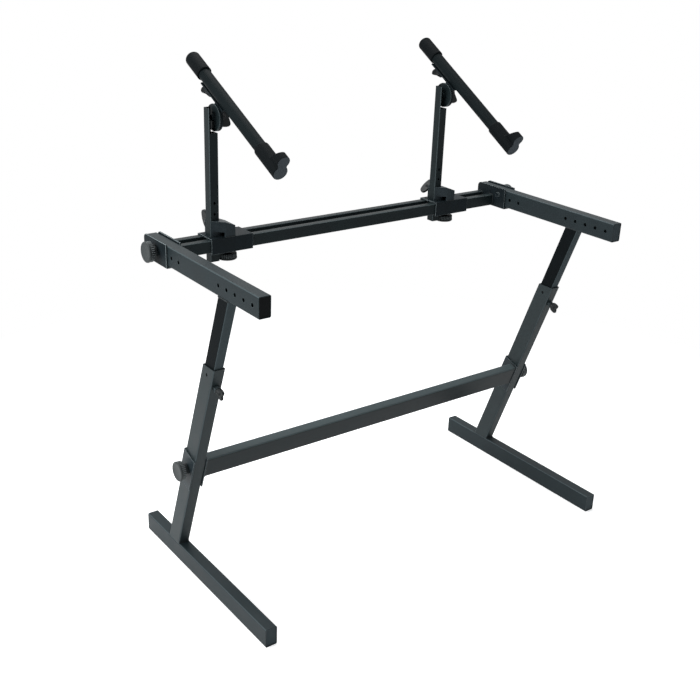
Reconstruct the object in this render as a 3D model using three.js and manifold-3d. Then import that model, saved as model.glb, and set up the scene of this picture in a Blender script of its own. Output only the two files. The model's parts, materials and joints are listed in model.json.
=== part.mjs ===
// Two-tier keyboard stand, Z pattern: two feet with leaning telescopic legs and level arms,
// a crossbar between the legs, and a rear rail frame that carries two tilting upper arms.
// Millimetres, +X to the player's right, -Y to the player, +Z up.
// The origin is on the floor, in the middle of the stand's overall box.
import * as THREE from 'three';
import { mergeVertices } from 'three/addons/utils/BufferGeometryUtils.js';
import Module from 'manifold-3d';

const wasm = await Module();
wasm.setup();

const degree = Math.PI / 180;

// ---------------------------------------------------------------- driving dimensions
const overallWidth = 900; // over the outer faces of the feet
const tubeWidth = 25; // foot, outer leg and arm tube, across
const tubeDepth = 40; // foot, outer leg and arm tube, the long side
const tubeWall = 1.5;
const tubeCorner = 3; // outside corner radius
const weldGap = 0.2; // left between pieces that are welded together
const runningGap = 0.3; // left round what turns or is screwed home
const slidingGap = 0.5; // left round what slides

const footLength = 485;
const plugDepth = 16;
const plugRecess = 0.8; // how far a plug's face lies inside the tube's end

const legLean = 19.67 * degree; // from upright, towards the player
const legFront = 100; // y of the leg's front face where it meets the foot, foot centred on 0
const outerLegTop = 495.9; // height of the outer leg's level rim
const innerLegWidth = 20;
const innerLegDepth = 34;
const legOverlap = 164; // inner leg inside outer leg as set, along the leg
const bushLength = 30;
const bushPegRadius = 3.2;
const bushPegRecess = 1; // peg's round end inside the leg's outer face
const bushPegDrop = 18; // peg below the rim, along the leg

const armHeight = 645.2; // underside of the level arms
const armLength = 412.7;
const armRearEnd = 200.3; // y of the arm's rear end, foot centred on 0
const armInset = 2; // arm's outer face inside the foot's outer face
const holeRadius = 4;
const holeCount = 5; // at each end of an arm
const holePitch = 28.3;
const firstHole = 20; // first hole from the arm's end
const clampHole = 2; // the hole, from the rear, that the rail clamp is screwed to

const crossbarHeight = 50; // along the leg
const crossbarThickness = 20;
const crossbarBottom = 193; // up the leg from the foot
const bracketLength = 80; // along the leg
const bracketSheet = 2.5;
const bracketBottom = 167; // up the leg from the foot
const bracketLip = 1.5; // bracket's sides stand this far in front of the leg

const clampLength = 91;
const clampSheet = 3;
const clampDrop = 1.5; // clamp's web below the arm's underside
const clampRise = 3; // clamp's sides above the arm's top
const clampCorner = 9; // rounding of each side's upper rear corner
const stopNutRadius = 5.5;
const stopNutHeight = 4;
const stopNutAhead = 22; // stop nut in front of the clamp's screw
const stopNutRise = 7;

const railWidth = 15;
const railHeight = 25;
const railCorner = 2;
const railBottom = armHeight - 2.2;
const railFrontFace = 147;
const railSlot = 21; // between the two rails

const saddleLength = 94;
const saddleSheet = 2.5;
const saddlePlateLength = 40;
const saddlePlateThickness = 2.8;
const saddleScrewOffset = 3; // clamp screw from the saddle's middle
const saddleNutRadius = 9;
const saddleNutHeight = 9;

const uprightSize = 20;
const uprightLength = 302;
const uprightCorner = 2;
const uprightOffset = -29; // from the saddle's middle
const uprightBottom = railBottom - 24.5; // height of its lower end as set
const uprightCut = 47.5; // length of the opened top
const uprightHoleRadius = 3;
const uprightHoleCount = 5;
const uprightHolePitch = 22;
const uprightFirstHole = 31; // above the lower end

const collarSheet = 2.5;
const collarHeight = 31;
const collarReach = 36; // from the upright's axis to the collar's far side
const collarFrontStart = 14; // from the upright's axis to the front face's near edge
const collarFall = 9; // how much lower the collar is at its far side
const collarFallStart = 13; // from the upright's axis to where its top starts to fall
const collarOpening = 10; // open height under the slanting panel
const collarScrewHeight = 25.5;

const discRadius = 26;
const discThickness = 4.5;
const pivotBelowTop = 19.5; // tilt pivot below the upright's top
const boltRadius = 4;
const boltHeadRadius = 7;
const boltHeadHeight = 4;

const carrierSheet = 3.5;
const carrierPlate = 3;
const carrierPlateWidth = 18;
const carrierRear = 74; // plate behind the pivot
const carrierFront = 16; // plate ahead of the pivot
const earNeck = 13.5; // half the ear's width under the plate
const carrierSlotRear = 68;
const carrierSlotFront = 48;
const axisAbovePivot = 40; // upper arm's axis from the tilt pivot

const armTubeRadius = 12.5;
const armTubeLength = 340;
const armScrewBack = 101; // slide screw behind the tube's middle
const slideScrewRadius = 3;
const rubberWall = 2.4;
const rubberEnd = 10; // rubber beyond the tube's end
const capLength = 57;
const sleeveLength = 72;
const lipWidth = 25;
const lipNeck = 19; // width between the lip's round top and the sleeve
const lipHeight = 36.5; // above the tube's axis
const lipThickness = 16; // at its top
const lipRoot = 34; // at its root

const knobRadius = 20.5;
const knobHead = 13;
const knobHub = 8.4;
const knobHubRadius = 10;
const knobLobes = 8;
const knobLobeDepth = 1.4;

const lockScrewDrop = 37; // height screw below the rim, along the leg
const lockNutRadius = 7.5;
const lockNutHeight = 7;

// Wings: span across, height from the seat, and crown, by which the middle stands above the tips
// as a share of the height. A crown below zero is a dip between the wings.
const heightWing = { span: 22, height: 19, thickness: 5, hubRadius: 6.5, crown: -0.12 };
const uprightWing = { span: 42, height: 25, thickness: 5, hubRadius: 6.5, crown: 0.25 };
const tiltWing = { span: 40, height: 26, thickness: 6, hubRadius: 7.5, crown: -0.08 };
const slideWing = { span: 26, height: 15, thickness: 5, hubRadius: 6, crown: -0.1 };
const heightWingTurn = 78 * degree;
const slideWingTurn = 50 * degree;

// How each upper arm is set: place along the rails, height, tilt and slide, and its wings' turn.
const saddlePlace = 288; // either side of the middle
const rightLift = 4; // right upright above the left one
const leftSlide = -41; // middle of the upper tube behind the pivot
const rightSlide = -47;
const tiers = [
  { side: 'left', saddle: -saddlePlace, lift: 0, tilt: 26.7 * degree, slide: leftSlide,
    uprightTurn: 86 * degree, tiltTurn: -8 * degree },
  { side: 'right', saddle: saddlePlace, lift: rightLift, tilt: 30.6 * degree, slide: rightSlide,
    uprightTurn: -45 * degree, tiltTurn: -35 * degree },
];

// ---------------------------------------------------------------- finishes
const powderCoat = { color: 0x2c3133, roughness: 0.5, metalness: 0.25 };
const mouldedPlastic = { color: 0x26292b, roughness: 0.6, metalness: 0 };
const rubber = { color: 0x1e2123, roughness: 0.85, metalness: 0 };

// ---------------------------------------------------------------- solids and shapes
function solidOf(geometry) {
  const bare = geometry.clone();
  bare.deleteAttribute('normal');
  bare.deleteAttribute('uv');
  const merged = mergeVertices(bare, 1e-4);
  const vertProperties = new Float32Array(merged.getAttribute('position').array);
  const triVerts = new Uint32Array(merged.getIndex().array);
  return new wasm.Manifold(new wasm.Mesh({ numProp: 3, vertProperties, triVerts }));
}

function geometryOf(solid) {
  const mesh = solid.getMesh();
  const geometry = new THREE.BufferGeometry();
  geometry.setAttribute('position', new THREE.BufferAttribute(mesh.vertProperties, 3));
  geometry.setIndex(new THREE.BufferAttribute(mesh.triVerts, 1));
  geometry.computeVertexNormals();
  return geometry;
}

function unite(...geometries) {
  return geometryOf(geometries.map(solidOf).reduce((whole, next) => whole.add(next)));
}

function cut(geometry, ...tools) {
  return geometryOf(tools.map(solidOf).reduce((whole, tool) => whole.subtract(tool), solidOf(geometry)));
}

function common(first, second) {
  return geometryOf(solidOf(first).intersect(solidOf(second)));
}

// A box between two corners.
function block([x0, y0, z0], [x1, y1, z1]) {
  const geometry = new THREE.BoxGeometry(x1 - x0, y1 - y0, z1 - z0);
  return geometry.translate((x0 + x1) / 2, (y0 + y1) / 2, (z0 + z1) / 2);
}

function outlineOf(points) {
  return new THREE.Shape(points.map(([x, y]) => new THREE.Vector2(x, y)));
}

// An outline in X and Y, raised from one height to another.
function prism(shape, low, high, curveSegments = 8) {
  const geometry = new THREE.ExtrudeGeometry(shape, { depth: high - low, bevelEnabled: false, curveSegments });
  return geometry.translate(0, 0, low);
}

function roundedRectangle(width, depth, corner, Outline = THREE.Shape) {
  const [x, y] = [width / 2, depth / 2];
  const outline = new Outline();
  outline.moveTo(-x + corner, -y);
  outline.lineTo(x - corner, -y);
  outline.absarc(x - corner, -y + corner, corner, -Math.PI / 2, 0, false);
  outline.lineTo(x, y - corner);
  outline.absarc(x - corner, y - corner, corner, 0, Math.PI / 2, false);
  outline.lineTo(-x + corner, y);
  outline.absarc(-x + corner, y - corner, corner, Math.PI / 2, Math.PI, false);
  outline.lineTo(-x, -y + corner);
  outline.absarc(-x + corner, -y + corner, corner, Math.PI, Math.PI * 1.5, false);
  return outline;
}

// A rectangular tube standing on the origin.
function tube(width, depth, wall, corner, length) {
  const section = roundedRectangle(width, depth, corner);
  const inside = Math.max(corner - wall, 0.5);
  section.holes.push(roundedRectangle(width - 2 * wall, depth - 2 * wall, inside, THREE.Path));
  return prism(section, 0, length, 2);
}

// An outline in Y and Z, drawn out along X from one place to another.
function sidePrism(shape, from, to, curveSegments = 8) {
  return prism(shape, from, to, curveSegments).rotateX(Math.PI / 2).rotateZ(Math.PI / 2);
}

// A round bar from one point to another.
function bar(from, to, radius, segments = 12) {
  const start = new THREE.Vector3(...from);
  const run = new THREE.Vector3(...to).sub(start);
  const geometry = new THREE.CylinderGeometry(radius, radius, run.length(), segments);
  const turn = new THREE.Quaternion().setFromUnitVectors(new THREE.Vector3(0, 1, 0), run.clone().normalize());
  geometry.applyQuaternion(turn);
  return geometry.translate(...start.addScaledVector(run, 0.5).toArray());
}

// A tube that leans towards the player with both ends cut level, from one height to another.
function leaningTube(width, depth, wall, corner, low, high) {
  const level = depth / Math.cos(legLean);
  const section = roundedRectangle(width, level, corner);
  const [insideWidth, insideLevel] = [width - 2 * wall, level - (2 * wall) / Math.cos(legLean)];
  section.holes.push(roundedRectangle(insideWidth, insideLevel, Math.max(corner - wall, 0.5), THREE.Path));
  return lean(prism(section, low, high, 2));
}

// Moves each level slice of a shape forward as it rises, so that its axis follows the leg's.
function lean(geometry) {
  const shear = new THREE.Matrix4();
  shear.set(1, 0, 0, 0, 0, 1, -Math.tan(legLean), legAxisAtFloor, 0, 0, 1, 0, 0, 0, 0, 1);
  return geometry.applyMatrix4(shear);
}

// ---------------------------------------------------------------- pieces
const stand = new THREE.Group();

function piece(parent, name, finish, geometry) {
  const mesh = new THREE.Mesh(geometry, new THREE.MeshStandardMaterial(finish));
  mesh.name = name;
  parent.add(mesh);
  return mesh;
}

// Turns a piece so that its own +Z points along a direction, after a turn about that axis.
function aim(mesh, position, direction, turn = 0) {
  const axis = new THREE.Vector3(...direction).normalize();
  const swing = new THREE.Quaternion().setFromUnitVectors(new THREE.Vector3(0, 0, 1), axis);
  const spin = new THREE.Quaternion().setFromAxisAngle(new THREE.Vector3(0, 0, 1), turn);
  mesh.position.set(...position);
  mesh.quaternion.copy(swing.multiply(spin));
  return mesh;
}

// ---------------------------------------------------------------- knobs and screws
// Each stands on the origin with its grip along +Z and its screw along -Z.
function lobedKnob(screwRadius, screwLength) {
  const points = [];
  const steps = knobLobes * 4;
  for (let i = 0; i < steps; i += 1) {
    const angle = (i / steps) * Math.PI * 2;
    const radius = knobRadius - knobLobeDepth * (0.5 - 0.5 * Math.cos(knobLobes * angle));
    points.push([radius * Math.cos(angle), radius * Math.sin(angle)]);
  }
  const bevel = 1.5;
  const head = new THREE.ExtrudeGeometry(outlineOf(points), {
    depth: knobHead - 2 * bevel,
    bevelThickness: bevel,
    bevelSize: bevel,
    bevelOffset: -bevel,
    bevelSegments: 1,
  });
  head.translate(0, 0, knobHub + bevel);
  const hub = bar([0, 0, 0], [0, 0, knobHub + 1], knobHubRadius);
  return unite(head, hub, bar([0, 0, -screwLength], [0, 0, 1], screwRadius));
}

// Two rounded wings on a hub. A bore in place of a screw makes it a wing nut.
function wingGrip({ span, height, thickness, hubRadius, crown }) {
  const half = span / 2;
  const tips = height * (1 - Math.max(crown, 0));
  const middle = height * (1 + Math.min(crown, 0));
  const rise = Math.max(middle - tips, 0);
  const wing = new THREE.Shape();
  wing.moveTo(-hubRadius, height * 0.08);
  wing.quadraticCurveTo(-half, height * 0.12, -half, tips * 0.64);
  wing.quadraticCurveTo(-half, tips, -half * 0.66, tips + rise * 0.65);
  wing.quadraticCurveTo(-half * 0.3, Math.max(middle, tips * 0.97), 0, middle);
  wing.quadraticCurveTo(half * 0.3, Math.max(middle, tips * 0.97), half * 0.66, tips + rise * 0.65);
  wing.quadraticCurveTo(half, tips, half, tips * 0.64);
  wing.quadraticCurveTo(half, height * 0.12, hubRadius, height * 0.08);
  const plate = prism(wing, -thickness / 2, thickness / 2, 4).rotateX(Math.PI / 2);
  return unite(plate, bar([0, 0, 0], [0, 0, height * 0.66], hubRadius));
}

function wingScrew(wing, screwRadius, screwLength) {
  return unite(wingGrip(wing), bar([0, 0, -screwLength], [0, 0, 1], screwRadius, 12));
}

function hexNut(radius, height) {
  return new THREE.CylinderGeometry(radius, radius, height, 6).rotateX(Math.PI / 2).translate(0, 0, height / 2);
}

// ---------------------------------------------------------------- feet, legs and arms
const legX = overallWidth / 2 - tubeWidth / 2;
const legAxisAtFloor = legFront + tubeDepth / (2 * Math.cos(legLean)) + tubeDepth * Math.tan(legLean);
const armX = overallWidth / 2 - armInset - tubeWidth / 2;
const armTop = armHeight + tubeDepth;
const armMiddle = armHeight + tubeDepth / 2;
const armFrontEnd = armRearEnd - armLength;

function plug(depth) {
  const [width, height] = [tubeWidth - 2 * tubeWall - 2 * weldGap, tubeDepth - 2 * tubeWall - 2 * weldGap];
  return prism(roundedRectangle(width, height, tubeCorner - tubeWall), 0, depth, 2).rotateX(-Math.PI / 2);
}

function plugPair(parent, name, x, z, rearEnd, frontEnd) {
  const front = piece(parent, `${name}_plug_front`, mouldedPlastic, plug(plugDepth));
  front.position.set(x, frontEnd + plugRecess, z);
  const rear = piece(parent, `${name}_plug_rear`, mouldedPlastic, plug(plugDepth));
  rear.position.set(x, rearEnd - plugRecess - plugDepth, z);
}

// A frame that follows the leg: y is 0 on the leg's front face, z runs up the leg from the foot.
function legFrame() {
  const frame = new THREE.Group();
  frame.position.set(0, legFront, tubeDepth);
  frame.rotation.x = legLean;
  frame.updateMatrix();
  stand.add(frame);
  return frame;
}

function foot(side, sign) {
  const profile = tube(tubeWidth, tubeDepth, tubeWall, tubeCorner, footLength).rotateX(-Math.PI / 2);
  const mesh = piece(stand, `${side}_foot`, powderCoat, profile);
  mesh.position.set(sign * legX, -footLength / 2, tubeDepth / 2);
  plugPair(stand, `${side}_foot`, sign * legX, tubeDepth / 2, footLength / 2, -footLength / 2);
}

function outerLeg(side, sign, frame) {
  const alongLeg = (geometry) => geometry.applyMatrix4(frame.matrix);
  const x = sign * legX;
  const reach = tubeWidth / 2 + 1;
  const crossScrew = alongLeg(bar(
    [x - reach, tubeDepth / 2, crossbarScrew], [x + reach, tubeDepth / 2, crossbarScrew], boltRadius + runningGap));
  const peg = alongLeg(bar(
    [x - reach, tubeDepth / 2, bushPegUpLeg], [x + reach, tubeDepth / 2, bushPegUpLeg], bushPegRadius + runningGap));
  const lock = alongLeg(bar([x, -1, lockScrewUpLeg], [x, tubeWall + 2, lockScrewUpLeg], boltRadius + runningGap));
  const profile = leaningTube(
    tubeWidth, tubeDepth, tubeWall, tubeCorner, tubeDepth + weldGap, outerLegTop).translate(x, 0, 0);
  piece(stand, `${side}_outer_leg`, powderCoat, cut(profile, crossScrew, peg, lock));
}

const rimUpLeg = (outerLegTop - tubeDepth - (tubeDepth / 2) * Math.sin(legLean)) / Math.cos(legLean);
const bushPegUpLeg = rimUpLeg - bushPegDrop;
const lockScrewUpLeg = rimUpLeg - lockScrewDrop;

// Plastic sleeve in the outer leg's mouth, held by a peg in each side wall.
function guideBush(side, sign, frame) {
  const [width, depth] = [tubeWidth - 2 * tubeWall - weldGap, tubeDepth - 2 * tubeWall - weldGap];
  const wallAcross = (width - innerLegWidth) / 2 - weldGap;
  const shell = leaningTube(width, depth, wallAcross, 1.5, outerLegTop - bushLength, outerLegTop);
  const pegTip = tubeWidth / 2 - bushPegRecess;
  const pegRoot = innerLegWidth / 2 + weldGap + wallAcross / 2;
  const peg = (turn) => bar(
    [turn * pegRoot, tubeDepth / 2, bushPegUpLeg], [turn * pegTip, tubeDepth / 2, bushPegUpLeg], bushPegRadius, 12,
  ).applyMatrix4(frame.matrix);
  const mesh = piece(stand, `${side}_guide_bush`, mouldedPlastic, unite(shell, peg(-1), peg(1)));
  mesh.position.x = sign * legX;
}

function innerLeg(side, sign) {
  const bottom = outerLegTop - legOverlap * Math.cos(legLean);
  const profile = leaningTube(innerLegWidth, innerLegDepth, tubeWall, tubeCorner, bottom, armHeight - weldGap);
  piece(stand, `${side}_inner_leg`, powderCoat, profile).position.x = sign * legX;
}

function arm(side, sign) {
  const profile = tube(tubeWidth, tubeDepth, tubeWall, tubeCorner, armLength).rotateX(-Math.PI / 2);
  profile.translate(0, armFrontEnd, armMiddle);
  const holes = [];
  for (let i = 0; i < holeCount; i += 1) {
    const fromEnd = firstHole + i * holePitch;
    for (const y of [armFrontEnd + fromEnd, armRearEnd - fromEnd]) {
      holes.push(bar([-tubeWidth, y, armMiddle], [tubeWidth, y, armMiddle], holeRadius, 10));
    }
  }
  piece(stand, `${side}_arm`, powderCoat, cut(profile, ...holes)).position.x = sign * armX;
  plugPair(stand, `${side}_arm`, sign * armX, armMiddle, armRearEnd, armFrontEnd);
}

// ---------------------------------------------------------------- height lock
const innerLegFace = (tubeDepth - innerLegDepth) / 2;

function heightLock(side, sign, frame) {
  const nut = piece(frame, `${side}_lock_nut`, powderCoat, cut(
    hexNut(lockNutRadius, lockNutHeight),
    bar([0, 0, -1], [0, 0, lockNutHeight + 1], boltRadius + runningGap),
  ));
  aim(nut, [sign * legX, -weldGap, lockScrewUpLeg], [0, -1, 0]);
  const seat = lockNutHeight + weldGap + runningGap;
  const screw = wingScrew(heightWing, boltRadius, seat + innerLegFace - runningGap);
  aim(piece(frame, `${side}_height_screw`, mouldedPlastic, screw),
    [sign * legX, -seat, lockScrewUpLeg], [0, -1, 0], heightWingTurn);
}

// ---------------------------------------------------------------- crossbar
const crossbarScrew = bracketBottom + bracketLength / 2 + 2;
const bracketInside = legX - tubeWidth / 2 - slidingGap - bracketSheet;
const bracketOutside = legX + tubeWidth / 2 + slidingGap + bracketSheet;

function crossbar(frame) {
  const length = 2 * (bracketInside - weldGap);
  const profile = tube(crossbarThickness, crossbarHeight, tubeWall, tubeCorner, length);
  profile.rotateX(Math.PI / 2).rotateZ(Math.PI / 2);
  profile.computeBoundingBox();
  const middle = profile.boundingBox.getCenter(new THREE.Vector3());
  profile.translate(-middle.x, -middle.y, -middle.z);
  const mesh = piece(frame, 'crossbar', powderCoat, profile);
  mesh.position.set(0, crossbarThickness / 2, crossbarBottom + crossbarHeight / 2);
}

// Channel that wraps the leg from behind and carries the crossbar on its inner side.
function crossbarBracket(side, sign, frame) {
  const low = bracketBottom;
  const high = bracketBottom + bracketLength;
  const rear = tubeDepth + slidingGap + bracketSheet;
  const across = (x) => sign * x;
  const [near, far] = [across(bracketInside), across(bracketOutside)].sort((a, b) => a - b);
  const channel = cut(
    block([near, -bracketLip, low], [far, rear, high]),
    block([near + bracketSheet, -bracketLip - 1, low - 1], [far - bracketSheet, rear - bracketSheet, high + 1]),
    bar([near - 1, tubeDepth / 2, crossbarScrew], [far + 1, tubeDepth / 2, crossbarScrew], boltRadius + runningGap),
  );
  piece(frame, `${side}_crossbar_bracket`, powderCoat, channel);
  const base = bracketOutside + runningGap;
  const knob = piece(frame, `${side}_crossbar_knob`, mouldedPlastic, lobedKnob(boltRadius, base - bracketInside));
  aim(knob, [sign * base, tubeDepth / 2, crossbarScrew], [sign, 0, 0]);
}

// ---------------------------------------------------------------- rail frame
const clampInside = armX - tubeWidth / 2 - slidingGap - clampSheet;
const clampOutside = armX + tubeWidth / 2 + slidingGap + clampSheet;
const clampTop = armTop + clampRise;
const clampScrewY = armRearEnd - firstHole - (clampHole - 1) * holePitch;
const railRearFace = railFrontFace + 2 * railWidth + railSlot;
const railTop = railBottom + railHeight;

// Channel under the arm's rear end, with a screw knob outside and the rails on its inner side.
function railClamp(side, sign) {
  const web = armHeight - clampDrop;
  const [near, far] = [sign * clampInside, sign * clampOutside].sort((a, b) => a - b);
  const front = armRearEnd - clampLength;
  const profile = new THREE.Shape();
  profile.moveTo(front, web - clampSheet);
  profile.lineTo(armRearEnd, web - clampSheet);
  profile.lineTo(armRearEnd, clampTop - clampCorner);
  profile.absarc(armRearEnd - clampCorner, clampTop - clampCorner, clampCorner, 0, Math.PI / 2, false);
  profile.lineTo(front, clampTop);
  const channel = cut(
    sidePrism(profile, near, far),
    block([near + clampSheet, front - 1, web], [far - clampSheet, armRearEnd + 1, clampTop + 1]),
    bar([sign * armX, clampScrewY, armMiddle], [sign * (clampOutside + 1), clampScrewY, armMiddle],
      boltRadius + runningGap),
  );
  const nut = hexNut(stopNutRadius, stopNutHeight + 1).rotateY((-sign * Math.PI) / 2);
  nut.translate(sign * (clampInside + 1), clampScrewY - stopNutAhead, armMiddle + stopNutRise);
  piece(stand, `${side}_rail_clamp`, powderCoat, unite(channel, nut));
  const base = clampOutside + runningGap;
  const screw = base - (armX + tubeWidth / 2) - runningGap;
  const knob = piece(stand, `${side}_clamp_knob`, mouldedPlastic, lobedKnob(boltRadius, screw));
  aim(knob, [sign * base, clampScrewY, armMiddle], [sign, 0, 0]);
}

function rail(name, frontFace) {
  const length = 2 * (clampInside - weldGap);
  const profile = tube(railWidth, railHeight, tubeWall, railCorner, length).rotateX(-Math.PI / 2);
  profile.rotateZ(-Math.PI / 2).translate(-length / 2, frontFace + railWidth / 2, railBottom + railHeight / 2);
  piece(stand, name, powderCoat, profile);
}

// ---------------------------------------------------------------- saddles on the rails
const slotMiddle = railFrontFace + railWidth + railSlot / 2;
const saddleTop = railTop + slidingGap + saddleSheet;
const saddleFront = railFrontFace - slidingGap - saddleSheet;
const saddleRear = railRearFace + slidingGap + saddleSheet;
const saddleBottom = railBottom - runningGap - saddlePlateThickness;

// Inverted channel over both rails, with a weld nut in the slot between them.
function saddle(side, parent) {
  const half = saddleLength / 2;
  const window = uprightSize / 2 + slidingGap;
  const channel = cut(
    block([-half, saddleFront, saddleBottom], [half, saddleRear, saddleTop]),
    block([-half - 1, saddleFront + saddleSheet, saddleBottom - 1],
      [half + 1, saddleRear - saddleSheet, saddleTop - saddleSheet]),
    block([uprightOffset - window, slotMiddle - window, railTop],
      [uprightOffset + window, slotMiddle + window, saddleTop + 1]),
  );
  const nut = hexNut(saddleNutRadius, saddleNutHeight + 1);
  nut.translate(saddleScrewOffset, slotMiddle, saddleTop - saddleSheet - saddleNutHeight);
  const bore = bar([saddleScrewOffset, slotMiddle, railBottom], [saddleScrewOffset, slotMiddle, saddleTop - 1],
    boltRadius + runningGap);
  piece(parent, `${side}_saddle`, powderCoat, cut(unite(channel, nut), bore));
}

// Plate that the knob pulls up under the rails.
function saddleClamp(side, parent) {
  const [x, half] = [saddleScrewOffset, saddlePlateLength / 2];
  const plate = cut(
    block([x - half, saddleFront + saddleSheet + slidingGap, saddleBottom],
      [x + half, saddleRear - saddleSheet - slidingGap, saddleBottom + saddlePlateThickness]),
    bar([x, slotMiddle, saddleBottom - 1], [x, slotMiddle, railBottom + 1], boltRadius + runningGap),
  );
  piece(parent, `${side}_saddle_plate`, powderCoat, plate);
  const base = saddleBottom - runningGap;
  const screw = lobedKnob(boltRadius, saddleTop - saddleSheet - base - runningGap);
  aim(piece(parent, `${side}_saddle_knob`, mouldedPlastic, screw), [x, slotMiddle, base], [0, 0, -1]);
}

// Bent-sheet collar round the upright, with a hooded side, open towards -X.
function uprightCollar(side, parent, turn) {
  const face = uprightSize / 2;
  const base = saddleTop + weldGap;
  const top = base + collarHeight;
  const front = slotMiddle - face - slidingGap;
  const rear = slotMiddle + face + slidingGap;
  const nose = saddleFront + slidingGap;
  const side1 = face + slidingGap;
  const outer = outlineOf([
    [-face, front], [collarFrontStart, nose], [collarReach, nose], [collarReach, rear + collarSheet],
    [-face, rear + collarSheet],
  ]);
  const inner = outlineOf([
    [-face + 2 * collarSheet, front - collarSheet], [collarFrontStart + 1, nose + collarSheet],
    [collarReach - collarSheet, nose + collarSheet], [collarReach - collarSheet, rear],
    [side1 + collarSheet, rear], [side1 + collarSheet, front - collarSheet],
  ]);
  const beneath = (drop) => {
    const wedge = outlineOf([
      [-face - 5, base - 10], [collarReach, base - 10], [collarReach, top - drop - collarFall],
      [collarFallStart, top - drop], [-face - 5, top - drop],
    ]);
    return prism(wedge, -2 * rear, 0).rotateX(Math.PI / 2);
  };
  const hood = common(prism(outer, base, top + 1), beneath(0));
  const hollow = common(prism(inner, base - 1, top + 1), beneath(collarSheet));
  const pocket = block([-face - 1, front, base - 1], [side1, rear, top + 2]);
  const opening = block([-face - 1, nose - 1, base - 1], [collarFrontStart - 1, front - collarSheet, base + collarOpening]);
  const screwHeight = base + collarScrewHeight;
  const bore = bar([0, rear - 1, screwHeight], [0, rear + collarSheet + 1, screwHeight], boltRadius + runningGap);
  const mesh = piece(parent, `${side}_upright_collar`, powderCoat, cut(hood, hollow, pocket, opening, bore));
  mesh.position.x = uprightOffset;
  const seat = rear + collarSheet + runningGap;
  const screw = wingScrew(uprightWing, boltRadius, seat - slotMiddle - face - runningGap);
  aim(piece(parent, `${side}_upright_screw`, mouldedPlastic, screw),
    [uprightOffset, seat, screwHeight], [0, 1, 0], turn);
}

// ---------------------------------------------------------------- uprights
const discFace = uprightSize / 2 - slidingGap; // the disc's toothed face, from the upright's axis

// Square tube, opened at the top so that the tilt disc can stand where its side wall was.
function upright(side, parent) {
  const half = uprightSize / 2;
  const profile = tube(uprightSize, uprightSize, tubeWall, uprightCorner, uprightLength);
  const cutBottom = uprightLength - uprightCut;
  const tools = [
    block([-half + tubeWall, -half - 1, cutBottom], [half + 1, half - tubeWall, uprightLength + 1]),
    block([discFace - discThickness - weldGap, -half - 1, cutBottom], [half + 1, half + 1, uprightLength + 1]),
  ];
  for (let i = 0; i < uprightHoleCount; i += 1) {
    const z = uprightFirstHole + i * uprightHolePitch;
    tools.push(bar([0, -half - 1, z], [0, half + 1, z], uprightHoleRadius, 8));
  }
  piece(parent, `${side}_upright`, powderCoat, cut(profile, ...tools));
}

// Disc with its bolt, welded to the opened top. Its own origin is the tilt pivot.
function tiltDisc(side, parent, pivotHeight, boltTip) {
  const disc = bar([discFace - discThickness, 0, 0], [discFace, 0, 0], discRadius, 28);
  const headFace = discFace - discThickness;
  const head = bar([headFace - boltHeadHeight, 0, 0], [headFace + 1, 0, 0], boltHeadRadius, 6);
  const bolt = bar([headFace, 0, 0], [boltTip, 0, 0], boltRadius);
  piece(parent, `${side}_tilt_disc`, powderCoat, unite(disc, head, bolt)).position.z = pivotHeight;
}

// ---------------------------------------------------------------- upper arms
const earFace = discFace + slidingGap; // the carrier's ear, from the upright's axis
const tierAxisX = earFace + carrierPlateWidth / 2;
const plateTop = axisAbovePivot - armTubeRadius - runningGap;
const plateBottom = plateTop - carrierPlate;

// Ear that bears on the tilt disc, and the slotted plate that the arm lies on.
function carrier(side, parent) {
  const ear = new THREE.Shape();
  ear.moveTo(-discRadius, 0);
  ear.absarc(0, 0, discRadius, Math.PI, 0, false);
  ear.quadraticCurveTo(discRadius - 1, plateBottom * 0.4, earNeck, plateBottom * 0.8);
  ear.lineTo(earNeck, plateTop - 1);
  ear.lineTo(-earNeck, plateTop - 1);
  ear.lineTo(-earNeck, plateBottom * 0.8);
  ear.quadraticCurveTo(-discRadius + 1, plateBottom * 0.4, -discRadius, 0);
  const earSolid = sidePrism(ear, earFace, earFace + carrierSheet, 12);
  const plate = block([earFace, -carrierFront, plateBottom], [earFace + carrierPlateWidth, carrierRear, plateTop]);
  const slotWidth = 2 * (slideScrewRadius + runningGap);
  const slot = prism(
    roundedRectangle(slotWidth, carrierSlotRear - carrierSlotFront, slideScrewRadius),
    plateBottom - 1, plateTop + 1, 4,
  ).translate(tierAxisX, (carrierSlotRear + carrierSlotFront) / 2, 0);
  const pivotHole = bar([earFace - 1, 0, 0], [earFace + carrierSheet + 1, 0, 0], boltRadius + runningGap);
  piece(parent, `${side}_carrier`, powderCoat, cut(unite(earSolid, plate), slot, pivotHole));
}

// Wing nut outside the ear, on the disc's bolt.
const wingNutBase = earFace + carrierSheet + runningGap;
const wingNutBore = 15;

function tiltNut(side, parent, pivotHeight, turn) {
  const grip = cut(
    wingGrip(tiltWing),
    bar([0, 0, -1], [0, 0, wingNutBore], boltRadius + runningGap),
  );
  aim(piece(parent, `${side}_tilt_nut`, mouldedPlastic, grip), [wingNutBase, 0, pivotHeight], [1, 0, 0], turn);
}

// Along the upper arm, y is measured from the middle of its tube, rear positive.
function tierTube(side, parent) {
  const half = armTubeLength / 2;
  const section = new THREE.Shape().absarc(0, 0, armTubeRadius, 0, Math.PI * 2, false);
  section.holes.push(new THREE.Path().absarc(0, 0, armTubeRadius - tubeWall, 0, Math.PI * 2, true));
  const profile = prism(section, -half, half, 10).rotateX(-Math.PI / 2);
  const hole = bar([0, armScrewBack, -armTubeRadius - 1], [0, armScrewBack, 0], slideScrewRadius + runningGap, 12);
  piece(parent, `${side}_tier_tube`, powderCoat, cut(profile, hole));
}

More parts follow.
